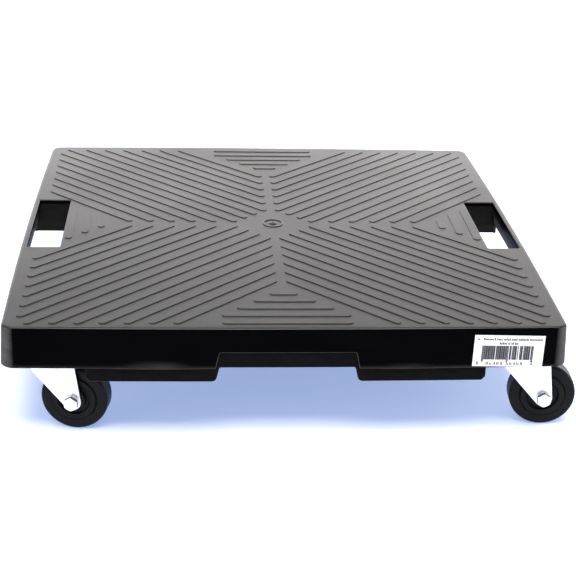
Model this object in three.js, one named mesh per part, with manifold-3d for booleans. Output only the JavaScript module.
// Furniture dolly: a square moulded deck on four swivel casters.
// Millimetres, +Z up. The origin is on the floor, below the middle of the overall box: that is
// a little to the right of the deck's middle, because one wheel trails out past the deck.
import * as THREE from 'three';
import { mergeVertices } from 'three/addons/utils/BufferGeometryUtils.js';
import Module from 'manifold-3d';

const wasm = await Module();
wasm.setup();

// ---------------------------------------------------------------- driving dimensions
const WHEEL_R = 26;
const WHEEL_WIDTH = 17;
const WHEEL_SIDES = 20;          // flats around the tread, one of them on the floor
const CASTER_HEIGHT = 64.6;      // floor to the top of the mounting plate
const FIT = 0.3;                 // clearance between pieces that touch
const DECK_MIDDLE_X = -7;        // the deck's middle plane, from the origin

const DECK_HALF = 211.4;         // middle to the straight line between two top corners
const DECK_CROWN = 2.6;          // how far each side bows out in its middle
const DECK_CORNER_R = 9;
const DECK_TOP_Z = 94.6;
const TOP_THICKNESS = 4;
const SKIRT_DEPTH = 32.5;
const SKIRT_THICKNESS = 3;
const SKIRT_DRAFT = 1.9;         // how much further out the skirt's lower edge is
const EDGE_R = 2.2;              // rounding between the top face and the skirt

const TREAD_BAR_WIDTH = 6.2;     // raised anti-slip bars on the top face
const TREAD_BAR_HEIGHT = 0.5;
const TREAD_BAR_PITCH = 18.4;    // spacing of the diagonal bars, measured along a side
const TREAD_FIELD_X = 201;       // the bars' outer ends, towards the hand slots
const TREAD_FIELD_Y = 204;       // and towards the front and the rear
const TREAD_CENTRE_GAP = 4.5;    // half of the plain cross between the four quadrants
const TREAD_CENTRE_R = 26.5;     // plain round field in the middle
const DIAGONAL_BARS = 7;         // on each side of a quadrant's diagonal
const TRIANGLE_FIRST = 150.1;    // middle of the first straight bar, from the centre
const TRIANGLE_PITCH = 13.05;
const TRIANGLE_OFFSET = 138.9;   // a straight bar's half length is its distance less this
const TRIANGLE_MAX_HALF = 49.2;
const BARS_ACROSS = 5;           // in the front and rear triangles
const BARS_BESIDE_SLOT = 3;      // in the left and right triangles

const SLOT_INNER = 181.3;        // hand slot, from the middle plane
const SLOT_OUTER = 209.1;
const SLOT_HALF_LENGTH = 56;
const SLOT_WALL = 2.5;
const SLOT_WALL_DEPTH = 30;
const SLOT_END_INSET = 1.6;      // a slot's end walls stop inside the skirt's thickness

const NOTCH_HALF = 53.8;         // notch in the front and rear skirts, at the lower edge
const NOTCH_TOP_HALF = 51;
const NOTCH_TOP_DEPTH = 19.5;
const SIDE_NOTCH_HALF = 60;      // notch in the left and right skirts, beside the hand slots
const SIDE_NOTCH_TOP_HALF = 57.5;
const SIDE_NOTCH_TOP_DEPTH = 22;
const NOTCH_CORNER_R = 0.6;
const TONGUE_INSET = 2.6;        // inner wall behind the front and rear skirts
const TONGUE_THICKNESS = 3;
const TONGUE_HALF = 150.8;
const TONGUE_DEPTH = 44;
const TONGUE_NOTCH_DEPTH = 32.5;
const TONGUE_CORNER_R = 4;

const GRID_LINES = [0, 48, 96, 144];         // stiffening ribs under the top face
const GRID_THICKNESS = 2.5;
const GRID_DEPTH = 24;
const SIDE_LINE = 180;                       // rib that runs between two caster pads

const CASTER_OFFSET = 181.5;     // swivel axes, from both middle planes
const TRAIL = 22.1;              // swivel axis to axle
const PAD_LINES = [-37.5, 0];    // ribs of a caster pad, from the swivel axis
const PAD_BOSS_R = 5;
const PAD_CENTRE_R = 10;

const PLATE_SIZE = 51;
const PLATE_THICKNESS = 2.2;
const PLATE_CORNER_R = 5;
const SCREW_OFFSET = 20;
const SCREW_R = 2;
const SCREW_HEAD_R = 4;
const SCREW_HEAD_HEIGHT = 2.4;
const SCREW_LENGTH = 14;         // into the deck

const CROWN_R = 23.4;            // round top of the fork
const STEEL = 2.2;               // fork sheet
const CROWN_TOP = 57.7;
const RIM_TOP = 59.4;
const UPPER_ROW_R = 16.5;        // pitch radius of the upper balls
const UPPER_BALL_R = 2;
const LOWER_ROW_R = 7.4;
const LOWER_BALL_R = 1.4;
const RIM_THICKNESS = 1.8;
const KINGPIN_R = 4;
const RIVET_R = 6;               // the kingpin's lower head
const RIVET_HEIGHT = 1.8;
const CUP_R = 9.9;
const CUP_THICKNESS = 1.1;

const LEG_OUTER = 14;            // wheel's middle plane to a leg's outer face
const LEG_END_R = 6.9;
const LEG_REAR_LEAN = THREE.MathUtils.degToRad(8);
const LEG_FRONT_LEAN = THREE.MathUtils.degToRad(41.5);
const AXLE_R = 3;
const SLEEVE_R = 5;
const HEX_FLATS = 10;
const HEAD_HEIGHT = 4;
const NUT_HEIGHT = 4.5;
const THREAD_END = 1;            // how far the bolt reaches out of its nut

const LABEL_WIDTH = 54;
const LABEL_HEIGHT = 25.2;
const LABEL_THICKNESS = 0.3;
const LABEL_X = 166.4;
const LABEL_DEPTH = 18.9;        // deck top to the label's middle
const LABEL_OFFSET = 0.6;        // skirt to the label's middle plane
const LABEL_TILT = THREE.MathUtils.degToRad(1.6);

// name, side in x and y, and the direction in which the wheel trails
const CASTERS = [
  { name: 'front_left', x: -1, y: -1, yaw: -11.1 },
  { name: 'front_right', x: 1, y: -1, yaw: -4.7 },
  { name: 'rear_right', x: 1, y: 1, yaw: 180 - 11.1 },
  { name: 'rear_left', x: -1, y: 1, yaw: -4.7 },
];

// ---------------------------------------------------------------- materials
const colours = {
  deck: { color: 0x2b2b2d, roughness: 0.48, metalness: 0 },
  label: { color: 0xf2f2ee, roughness: 0.6, metalness: 0 },
  zinc: { color: 0xd4d8da, roughness: 0.32, metalness: 1 },
  wheel: { color: 0x2e2f31, roughness: 0.62, metalness: 0 },
  ball: { color: 0xb9bcc0, roughness: 0.15, metalness: 1 },
};

function material(kind) {
  return new THREE.MeshStandardMaterial(colours[kind]);
}

// ---------------------------------------------------------------- solids
// A closed geometry as a solid that can be joined and cut.
function solid(geometry) {
  const bare = geometry.clone();
  bare.deleteAttribute('normal');
  bare.deleteAttribute('uv');
  const merged = mergeVertices(bare, 1e-4);
  const vertProperties = new Float32Array(merged.attributes.position.array);
  const triVerts = new Uint32Array(merged.index.array);
  return new wasm.Manifold(new wasm.Mesh({ numProp: 3, vertProperties, triVerts }));
}

// The solid's surface as a geometry with flat normals.
function surface(shape) {
  const mesh = shape.getMesh();
  const geometry = new THREE.BufferGeometry();
  geometry.setAttribute('position', new THREE.BufferAttribute(mesh.vertProperties, 3));
  geometry.setIndex(new THREE.BufferAttribute(mesh.triVerts, 1));
  geometry.computeVertexNormals();
  return geometry;
}

function box(x0, x1, y0, y1, z0, z1) {
  const geometry = new THREE.BoxGeometry(x1 - x0, y1 - y0, z1 - z0);
  geometry.translate((x0 + x1) / 2, (y0 + y1) / 2, (z0 + z1) / 2);
  return solid(geometry);
}

// An upright round post.
function post(x, y, radius, z0, z1, sides) {
  const geometry = new THREE.CylinderGeometry(radius, radius, z1 - z0, sides);
  geometry.rotateX(Math.PI / 2);
  geometry.translate(x, y, (z0 + z1) / 2);
  return solid(geometry);
}

function extrude(shape, z0, z1, curveSegments = 6) {
  const options = { depth: z1 - z0, bevelEnabled: false, curveSegments };
  const geometry = new THREE.ExtrudeGeometry(shape, options);
  geometry.translate(0, 0, z0);
  return geometry;
}

// A profile of [radius, height] points turned about the Z axis.
function turned(profile, segments, start = 0) {
  const points = profile.map(([r, z]) => new THREE.Vector2(r, z));
  const geometry = new THREE.LatheGeometry(points, segments, start);
  geometry.rotateX(Math.PI / 2);
  return geometry;
}

function join(parts) {
  return parts.reduce((whole, part) => whole.add(part));
}

function node(name, geometry, kind) {
  const mesh = new THREE.Mesh(geometry, material(kind));
  mesh.name = name;
  return mesh;
}

// ---------------------------------------------------------------- deck outline
// The deck's plan: a square with rounded corners whose sides bow out a little.
function deckOutline(half) {
  const r = DECK_CORNER_R - (DECK_HALF - half) * 0.6;
  const straight = half - r;
  const bow = half + 2 * DECK_CROWN;
  const shape = new THREE.Shape();
  shape.moveTo(-straight, -half);
  shape.quadraticCurveTo(0, -bow, straight, -half);
  shape.absarc(straight, -straight, r, -Math.PI / 2, 0, false);
  shape.quadraticCurveTo(bow, 0, half, straight);
  shape.absarc(straight, straight, r, 0, Math.PI / 2, false);
  shape.quadraticCurveTo(0, bow, -straight, half);
  shape.absarc(-straight, straight, r, Math.PI / 2, Math.PI, false);
  shape.quadraticCurveTo(-bow, 0, -half, -straight);
  shape.absarc(-straight, -straight, r, Math.PI, 1.5 * Math.PI, false);
  return shape;
}

// The outline drawn through levels of [depth below the top, outward offset].
function deckBlock(half, levels) {
  const steps = levels.length - 1;
  const options = { depth: steps, steps, bevelEnabled: false, curveSegments: 4 };
  const geometry = new THREE.ExtrudeGeometry(deckOutline(half), options);
  const position = geometry.attributes.position;
  for (let i = 0; i < position.count; i += 1) {
    const [depth, offset] = levels[Math.round(position.getZ(i))];
    const scale = (half + offset) / half;
    const x = position.getX(i) * scale;
    const y = position.getY(i) * scale;
    position.setXYZ(i, x, y, DECK_TOP_Z - depth);
  }
  return solid(geometry);
}

function draftAt(depth) {
  return SKIRT_DRAFT * depth / SKIRT_DEPTH;
}

// A block inside the skirt, between two depths, that keeps the skirt's draft.
function insideBlock(inset, depth0, depth1) {
  const levels = [[depth1, draftAt(depth1)], [depth0, draftAt(depth0)]];
  return deckBlock(DECK_HALF - inset, levels);
}

// A trapezoid with rounded lower corners, seen along Y, cut right through a wall.
function notchCutter(topHalf, bottomHalf, topDepth, bottomDepth, flare, y0, y1) {
  const zTop = DECK_TOP_Z - topDepth;
  const zLow = DECK_TOP_Z - bottomDepth;
  const shape = new THREE.Shape();
  shape.moveTo(-topHalf, zTop);
  shape.lineTo(-bottomHalf, zLow + flare);
  shape.quadraticCurveTo(-bottomHalf, zLow, -bottomHalf - flare, zLow - 0.01);
  shape.lineTo(-bottomHalf - flare, zLow - 5);
  shape.lineTo(bottomHalf + flare, zLow - 5);
  shape.lineTo(bottomHalf + flare, zLow - 0.01);
  shape.quadraticCurveTo(bottomHalf, zLow, bottomHalf, zLow + flare);
  shape.lineTo(topHalf, zTop);
  const geometry = extrude(shape, 0, y1 - y0, 4);
  geometry.rotateX(Math.PI / 2);
  geometry.translate(0, y1, 0);
  return solid(geometry);
}

// ---------------------------------------------------------------- deck pieces
function skirtShell() {
  const levels = [
    [SKIRT_DEPTH, SKIRT_DRAFT],
    [EDGE_R, draftAt(EDGE_R)],
    [EDGE_R * 0.3, -EDGE_R * 0.28],
    [0, -EDGE_R],
  ];
  const outer = deckBlock(DECK_HALF, levels);
  const cavity = insideBlock(SKIRT_THICKNESS, TOP_THICKNESS, SKIRT_DEPTH + 1);
  const reach = DECK_HALF + 20;
  const notch = notchCutter(
    NOTCH_TOP_HALF, NOTCH_HALF, NOTCH_TOP_DEPTH, SKIRT_DEPTH, NOTCH_CORNER_R, -reach, reach,
  );
  const alongY = notchCutter(
    SIDE_NOTCH_TOP_HALF, SIDE_NOTCH_HALF, SIDE_NOTCH_TOP_DEPTH, SKIRT_DEPTH, NOTCH_CORNER_R,
    -reach, reach,
  );
  const sideNotch = alongY.rotate([0, 0, 90]);
  return outer.subtract(cavity).subtract(notch).subtract(sideNotch);
}

// The two deeper walls just inside the front and rear skirts, each with its own notch.
function tongues() {
  const outer = insideBlock(TONGUE_INSET, TOP_THICKNESS - 1, TONGUE_DEPTH);
  const innerInset = TONGUE_INSET + TONGUE_THICKNESS;
  const inner = insideBlock(innerInset, TOP_THICKNESS - 2, TONGUE_DEPTH + 1);
  const reach = DECK_HALF + 20;
  const low = DECK_TOP_Z - TONGUE_DEPTH - 1;
  const keep = box(-TONGUE_HALF, TONGUE_HALF, -reach, reach, low, DECK_TOP_Z);
  const notch = notchCutter(
    NOTCH_TOP_HALF, NOTCH_HALF, TONGUE_NOTCH_DEPTH, TONGUE_DEPTH, TONGUE_CORNER_R, -reach, reach,
  );
  const walls = outer.subtract(inner).intersect(keep).subtract(notch);
  const y = DECK_HALF - 20;
  const front = walls.intersect(box(-reach, reach, -reach, -y, low, DECK_TOP_Z));
  const rear = walls.intersect(box(-reach, reach, y, reach, low, DECK_TOP_Z));
  return front.add(rear);
}

// Square lattice of stiffening ribs, with a rib between each pair of caster pads.
function grid() {
  const z0 = DECK_TOP_Z - GRID_DEPTH;
  const z1 = DECK_TOP_Z - TOP_THICKNESS + 1;
  const h = GRID_THICKNESS / 2;
  const reach = DECK_HALF - 1;
  const outerLine = GRID_LINES[GRID_LINES.length - 1];
  const places = GRID_LINES.flatMap((p) => (p === 0 ? [0] : [-p, p]));
  const ribs = places.flatMap((p) => [
    box(p - h, p + h, -reach, reach, z0, z1),
    box(-reach, reach, p - h, p + h, z0, z1),
  ]);
  for (const side of [-SIDE_LINE, SIDE_LINE]) {
    ribs.push(box(side - h, side + h, -outerLine, outerLine, z0, z1));
    ribs.push(box(-outerLine, outerLine, side - h, side + h, z0, z1));
  }
  return join(ribs);
}

// Ribs and screw bosses that carry one caster's mounting plate.
function casterPad(sideX, sideY) {
  const z0 = CASTER_HEIGHT + FIT;
  const z1 = DECK_TOP_Z - TOP_THICKNESS + 1;
  const h = GRID_THICKNESS / 2;
  const near = PAD_LINES[0] - h;
  const far = DECK_HALF - CASTER_OFFSET - 1;
  const parts = [post(0, 0, PAD_CENTRE_R + 2, z0, z1, 16)];
  for (const line of PAD_LINES) {
    parts.push(box(line - h, line + h, near, far, z0, z1));
    parts.push(box(near, far, line - h, line + h, z0, z1));
  }
  for (const x of [-SCREW_OFFSET, SCREW_OFFSET]) {
    for (const y of [-SCREW_OFFSET, SCREW_OFFSET]) {
      parts.push(post(x, y, PAD_BOSS_R, z0, z1, 12));
    }
  }
  const holes = [post(0, 0, PAD_CENTRE_R, z0 - 1, z1 - 3, 16)];
  for (const x of [-SCREW_OFFSET, SCREW_OFFSET]) {
    for (const y of [-SCREW_OFFSET, SCREW_OFFSET]) {
      holes.push(post(x, y, SCREW_R + FIT, z0 - 1, CASTER_HEIGHT + SCREW_LENGTH + 1, 8));
    }
  }
  const pad = join(parts).subtract(join(holes));
  return pad.scale([sideX, sideY, 1]).translate([sideX * CASTER_OFFSET, sideY * CASTER_OFFSET, 0]);
}

// Walls around a hand slot on the right side: the inner one and the two end ones.
function slotWalls() {
  const z0 = DECK_TOP_Z - SLOT_WALL_DEPTH;
  const z1 = DECK_TOP_Z - 1;
  const length = SLOT_HALF_LENGTH + SLOT_WALL;
  const end = DECK_HALF + DECK_CROWN - SLOT_END_INSET;
  const inner = box(SLOT_INNER - SLOT_WALL, SLOT_INNER, -length, length, z0, z1);
  const front = box(SLOT_INNER - 1, end, -length, -SLOT_HALF_LENGTH, z0, z1);
  const rear = box(SLOT_INNER - 1, end, SLOT_HALF_LENGTH, length, z0, z1);
  return join([inner, front, rear]);
}

// The open space of the right hand slot: a hole in the top, and the wider well below it.
function slotSpace() {
  const low = DECK_TOP_Z - SKIRT_DEPTH - 2;
  const y = SLOT_HALF_LENGTH;
  const hole = box(SLOT_INNER, SLOT_OUTER, -y, y, low, DECK_TOP_Z + 5);
  const wellTop = DECK_TOP_Z - TOP_THICKNESS;
  const wellEnd = DECK_HALF + DECK_CROWN - SKIRT_THICKNESS + 0.2;
  const well = box(SLOT_INNER, wellEnd, -y, y, low, wellTop);
  return hole.add(well);
}

// ---------------------------------------------------------------- anti-slip bars
// One raised bar with round ends from (x0, y0) to (x1, y1), both at its outer tips.
function treadBar(x0, y0, x1, y1) {
  const length = Math.hypot(x1 - x0, y1 - y0);
  const r = TREAD_BAR_WIDTH / 2;
  const outline = [];
  for (const [centre, start] of [[r, 90], [length - r, -90]]) {
    for (let step = 0; step <= 3; step += 1) {
      const a = THREE.MathUtils.degToRad(start + step * 60);
      outline.push(new THREE.Vector2(centre + r * Math.cos(a), r * Math.sin(a)));
    }
  }
  const shape = new THREE.Shape(outline);
  const bar = solid(extrude(shape, DECK_TOP_Z - 0.5, DECK_TOP_Z + TREAD_BAR_HEIGHT));
  const angle = THREE.MathUtils.radToDeg(Math.atan2(y1 - y0, x1 - x0));
  return bar.rotate([0, 0, angle]).translate([x0, y0, 0]);
}

// Ends of the diagonal bar that is shifted by (index + 1/2) pitches towards one side of the deck,
// where it ends at the field's edge: across that side and towards it, first near and then far.
function diagonalEnds(index, fieldEdge) {
  const shift = (index + 0.5) * TREAD_BAR_PITCH;
  const roundField = Math.sqrt(TREAD_CENTRE_R ** 2 - shift ** 2 / 2) / Math.SQRT2 - shift / 2;
  const inner = Math.max(TREAD_CENTRE_GAP, roundField || 0);
  return [inner, inner + shift, fieldEdge - shift, fieldEdge];
}

function treadBars() {
  const bars = [];
  const signs = [[1, 1], [-1, 1], [-1, -1], [1, -1]];
  for (let i = 0; i < DIAGONAL_BARS; i += 1) {
    const [x0, y0, x1, y1] = diagonalEnds(i, TREAD_FIELD_Y);
    const [v0, u0, v1, u1] = diagonalEnds(i, TREAD_FIELD_X);
    for (const [sx, sy] of signs) {
      bars.push(treadBar(sx * x0, sy * y0, sx * x1, sy * y1));
      bars.push(treadBar(sx * u0, sy * v0, sx * u1, sy * v1));
    }
  }
  for (let i = 0; i < BARS_ACROSS; i += 1) {
    const place = TRIANGLE_FIRST + i * TRIANGLE_PITCH;
    const half = Math.min(place - TRIANGLE_OFFSET, TRIANGLE_MAX_HALF);
    for (const side of [-1, 1]) {
      bars.push(treadBar(-half, side * place, half, side * place));
      if (i < BARS_BESIDE_SLOT) {
        bars.push(treadBar(side * place, -half, side * place, half));
      }
    }
  }
  return bars;
}

function deck() {
  const pads = CASTERS.map(({ x, y }) => casterPad(x, y));
  const walls = [slotWalls(), slotWalls().rotate([0, 0, 180])];
  const spaces = slotSpace().add(slotSpace().rotate([0, 0, 180]));
  const body = join([skirtShell(), tongues(), grid(), ...pads, ...walls]);
  const open = body.subtract(spaces);
  return node('deck', surface(join([open, ...treadBars()])), 'deck');
}

// ---------------------------------------------------------------- label
function barcodeLabel() {
  const geometry = new THREE.BoxGeometry(LABEL_WIDTH, LABEL_THICKNESS, LABEL_HEIGHT);
  const mesh = node('barcode_label', geometry, 'label');
  const draftAngle = Math.atan2(SKIRT_DRAFT, SKIRT_DEPTH);
  const crownAt = DECK_CROWN * (1 - (LABEL_X / DECK_HALF) ** 2);
  const crownSlope = 2 * DECK_CROWN * LABEL_X / DECK_HALF ** 2;
  const out = DECK_HALF + crownAt + draftAt(LABEL_DEPTH) + LABEL_OFFSET;
  mesh.rotation.order = 'ZXY';
  mesh.rotation.set(-draftAngle, LABEL_TILT, Math.atan(crownSlope));
  mesh.position.set(LABEL_X, -out, DECK_TOP_Z - LABEL_DEPTH);
  return mesh;
}

// ---------------------------------------------------------------- caster, fixed pieces
function mountingPlate(prefix) {
  const h = PLATE_SIZE / 2;
  const c = h - PLATE_CORNER_R;
  const z0 = CASTER_HEIGHT - PLATE_THICKNESS;
  const shape = new THREE.Shape();
  shape.absarc(c, c, PLATE_CORNER_R, 0, Math.PI / 2, false);
  shape.absarc(-c, c, PLATE_CORNER_R, Math.PI / 2, Math.PI, false);
  shape.absarc(-c, -c, PLATE_CORNER_R, Math.PI, 1.5 * Math.PI, false);
  shape.absarc(c, -c, PLATE_CORNER_R, 1.5 * Math.PI, 2 * Math.PI, false);
  for (const x of [-SCREW_OFFSET, SCREW_OFFSET]) {
    for (const y of [-SCREW_OFFSET, SCREW_OFFSET]) {
      const hole = new THREE.Path();
      hole.absarc(x, y, SCREW_R + 0.6, 0, 2 * Math.PI, true);
      shape.holes.push(hole);
    }
  }
  const plate = solid(extrude(shape, z0, CASTER_HEIGHT, 3));
  const lip = [[19, z0 + 0.5], [19, z0 - 2], [20.8, z0 - 2], [20.8, z0 + 0.5], [19, z0 + 0.5]];
  const bore = post(0, 0, KINGPIN_R + FIT + 0.1, z0 - 5, CASTER_HEIGHT + 5, 10);
  const whole = plate.add(solid(turned(lip, 18))).subtract(bore);
  return node(`${prefix}_mounting_plate`, surface(whole), 'zinc');
}

function kingpin(prefix) {
  const headTop = CASTER_HEIGHT + FIT + 2;
  const rivetTop = CROWN_TOP - STEEL - 2 * LOWER_BALL_R - CUP_THICKNESS - 3 * FIT;
  const profile = [
    [0, rivetTop - RIVET_HEIGHT],
    [RIVET_R - 1, rivetTop - RIVET_HEIGHT],
    [RIVET_R, rivetTop - RIVET_HEIGHT / 2],
    [RIVET_R, rivetTop],
    [KINGPIN_R, rivetTop],
    [KINGPIN_R, CASTER_HEIGHT + FIT],
    [RIVET_R + 0.5, CASTER_HEIGHT + FIT],
    [RIVET_R, headTop],
    [0, headTop],
  ];
  return node(`${prefix}_kingpin`, turned(profile, 10), 'zinc');
}

// Stamped washer that holds the lower balls up against the fork.
function raceCup(prefix) {
  const top = CROWN_TOP - STEEL - 2 * LOWER_BALL_R - 2 * FIT;
  const profile = [
    [KINGPIN_R + FIT, top],
    [KINGPIN_R + FIT, top - CUP_THICKNESS],
    [CUP_R - 0.8, top - CUP_THICKNESS],
    [CUP_R, top - 0.3],
    [CUP_R, top + 1],
    [CUP_R - 0.8, top + 1],
    [CUP_R - 0.8, top],
    [KINGPIN_R + FIT, top],
  ];
  return node(`${prefix}_race_cup`, turned(profile, 12), 'zinc');
}

function mountingScrews(prefix) {
  const screws = [];
  const headTop = CASTER_HEIGHT - PLATE_THICKNESS - FIT;
  for (const [x, y] of [[-1, -1], [1, -1], [1, 1], [-1, 1]]) {
    const head = post(0, 0, SCREW_HEAD_R, headTop - SCREW_HEAD_HEIGHT, headTop, 6);
    const shank = post(0, 0, SCREW_R, headTop - 0.5, CASTER_HEIGHT + SCREW_LENGTH, 8);
    const name = `${prefix}_plate_screw_${screws.length + 1}`;
    const screw = node(name, surface(head.add(shank)), 'zinc');
    screw.position.set(x * SCREW_OFFSET, y * SCREW_OFFSET, 0);
    screws.push(screw);
  }
  return screws;
}

// ---------------------------------------------------------------- caster, swivelling pieces
// One row of balls, as the closed ring that they fill.
function ballRow(name, pitchR, ballR, z, segments) {
  const profile = [];
  for (let i = 0; i <= 6; i += 1) {
    const a = i * Math.PI / 3;
    profile.push([pitchR + ballR * Math.cos(a), z + ballR * Math.sin(a)]);
  }
  return node(name, turned(profile, segments), 'ball');
}

// A fork leg in the XZ plane, X along the trail from the swivel axis.
function legOutline() {
  const rear = LEG_REAR_LEAN;
  const front = LEG_FRONT_LEAN;
  const rearX = TRAIL + LEG_END_R * Math.cos(rear);
  const rearZ = WHEEL_R + LEG_END_R * Math.sin(rear);
  const frontX = TRAIL - LEG_END_R * Math.cos(front);
  const frontZ = WHEEL_R - LEG_END_R * Math.sin(front);
  const top = CROWN_TOP - 0.5;
  const shape = new THREE.Shape();
  shape.moveTo(rearX, rearZ);
  shape.lineTo(rearX - (top - rearZ) * Math.tan(rear), top);
  shape.lineTo(frontX - (top - frontZ) * Math.tan(front), top);
  shape.lineTo(frontX, frontZ);
  shape.absarc(TRAIL, WHEEL_R, LEG_END_R, Math.PI + front, 2 * Math.PI + rear, false);
  const hole = new THREE.Path();
  hole.absarc(TRAIL, WHEEL_R, AXLE_R + FIT, 0, 2 * Math.PI, true);
  shape.holes.push(hole);
  return shape;
}

function fork(prefix) {
  const under = CROWN_TOP - STEEL;
  const profile = [
    [KINGPIN_R + FIT, CROWN_TOP],
    [KINGPIN_R + FIT, under],
    [CROWN_R - 1.5, under],
    [CROWN_R, under + 1.5],
    [CROWN_R, RIM_TOP],
    [CROWN_R - RIM_THICKNESS, RIM_TOP],
    [CROWN_R - RIM_THICKNESS, CROWN_TOP],
    [KINGPIN_R + FIT, CROWN_TOP],
  ];
  const parts = [solid(turned(profile, 18))];
  for (const outer of [LEG_OUTER, STEEL - LEG_OUTER]) {
    const leg = extrude(legOutline(), 0, STEEL, 4);
    leg.rotateX(Math.PI / 2);
    leg.translate(0, outer, 0);
    parts.push(solid(leg));
  }
  return node(`${prefix}_fork`, surface(join(parts)), 'zinc');
}

// ---------------------------------------------------------------- wheel and axle
// A piece turned about the axle, whose axis is Y once it is placed.
function onAxle(geometry) {
  geometry.rotateX(Math.PI / 2);
  geometry.translate(TRAIL, 0, WHEEL_R);
  return geometry;
}

function wheel(prefix) {
  const h = WHEEL_WIDTH / 2;
  const halfFlat = Math.PI / WHEEL_SIDES;
  const tread = WHEEL_R / Math.cos(halfFlat);
  const bore = SLEEVE_R + 2 * FIT;
  const half = [
    [bore, 11],
    [9, 11],
    [9.6, h - 1.5],
    [12.2, h - 1.5],
    [12.6, h + 0.8],
    [17, h + 0.8],
    [17.6, h],
    [tread - 1.8, h],
    [tread, h - 2.2],
  ];
  const mirrored = half.map(([r, z]) => [r, -z]);
  const profile = [...mirrored, ...half.reverse(), mirrored[0]];
  return node(`${prefix}_wheel`, onAxle(turned(profile, WHEEL_SIDES, halfFlat)), 'wheel');
}

function axleSleeve(prefix) {
  const h = LEG_OUTER - STEEL - FIT;
  const r = AXLE_R + FIT;
  const profile = [[r, -h], [SLEEVE_R, -h], [SLEEVE_R, h], [r, h], [r, -h]];
  return node(`${prefix}_axle_sleeve`, onAxle(turned(profile, 12)), 'zinc');
}

// The head lies outside one leg and the thread reaches through the nut outside the other.
function axleBolt(prefix) {
  const head = LEG_OUTER + FIT;
  const end = LEG_OUTER + FIT + NUT_HEIGHT + THREAD_END;
  const hexR = HEX_FLATS / Math.sqrt(3);
  const hex = new THREE.CylinderGeometry(hexR, hexR, HEAD_HEIGHT, 6);
  hex.translate(0, head + HEAD_HEIGHT / 2, 0);
  const shank = new THREE.CylinderGeometry(AXLE_R, AXLE_R, end + head + 0.5, 12);
  shank.translate(0, (head + 0.5 - end) / 2, 0);
  const whole = surface(solid(hex).add(solid(shank)));
  whole.translate(TRAIL, 0, WHEEL_R);
  return node(`${prefix}_axle_bolt`, whole, 'zinc');
}

function axleNut(prefix) {
  const hexR = HEX_FLATS / Math.sqrt(3);
  const shape = new THREE.Shape();
  for (let i = 0; i < 6; i += 1) {
    const a = i * Math.PI / 3;
    shape[i === 0 ? 'moveTo' : 'lineTo'](hexR * Math.cos(a), hexR * Math.sin(a));
  }
  const hole = new THREE.Path();
  hole.absarc(0, 0, AXLE_R + FIT, 0, 2 * Math.PI, true);
  shape.holes.push(hole);
  const geometry = extrude(shape, LEG_OUTER + FIT, LEG_OUTER + FIT + NUT_HEIGHT, 6);
  return node(`${prefix}_axle_nut`, onAxle(geometry), 'zinc');
}

// ---------------------------------------------------------------- one caster
function caster({ name, x, y, yaw }) {
  const group = new THREE.Group();
  group.position.set(x * CASTER_OFFSET, y * CASTER_OFFSET, 0);
  group.add(mountingPlate(name), kingpin(name), raceCup(name), ...mountingScrews(name));
  const swivel = new THREE.Group();
  swivel.rotation.z = THREE.MathUtils.degToRad(yaw);
  const upperZ = CROWN_TOP + FIT + UPPER_BALL_R;
  const lowerZ = CROWN_TOP - STEEL - FIT - LOWER_BALL_R;
  swivel.add(
    ballRow(`${name}_upper_ball_row`, UPPER_ROW_R, UPPER_BALL_R, upperZ, 16),
    ballRow(`${name}_lower_ball_row`, LOWER_ROW_R, LOWER_BALL_R, lowerZ, 12),
    fork(name),
    wheel(name),
    axleSleeve(name),
    axleBolt(name),
    axleNut(name),
  );
  group.add(swivel);
  return group;
}

const pieces = new THREE.Group();
pieces.position.x = DECK_MIDDLE_X;
pieces.add(deck(), barcodeLabel(), ...CASTERS.map(caster));
const dolly = new THREE.Group();
dolly.add(pieces);

export default dolly;
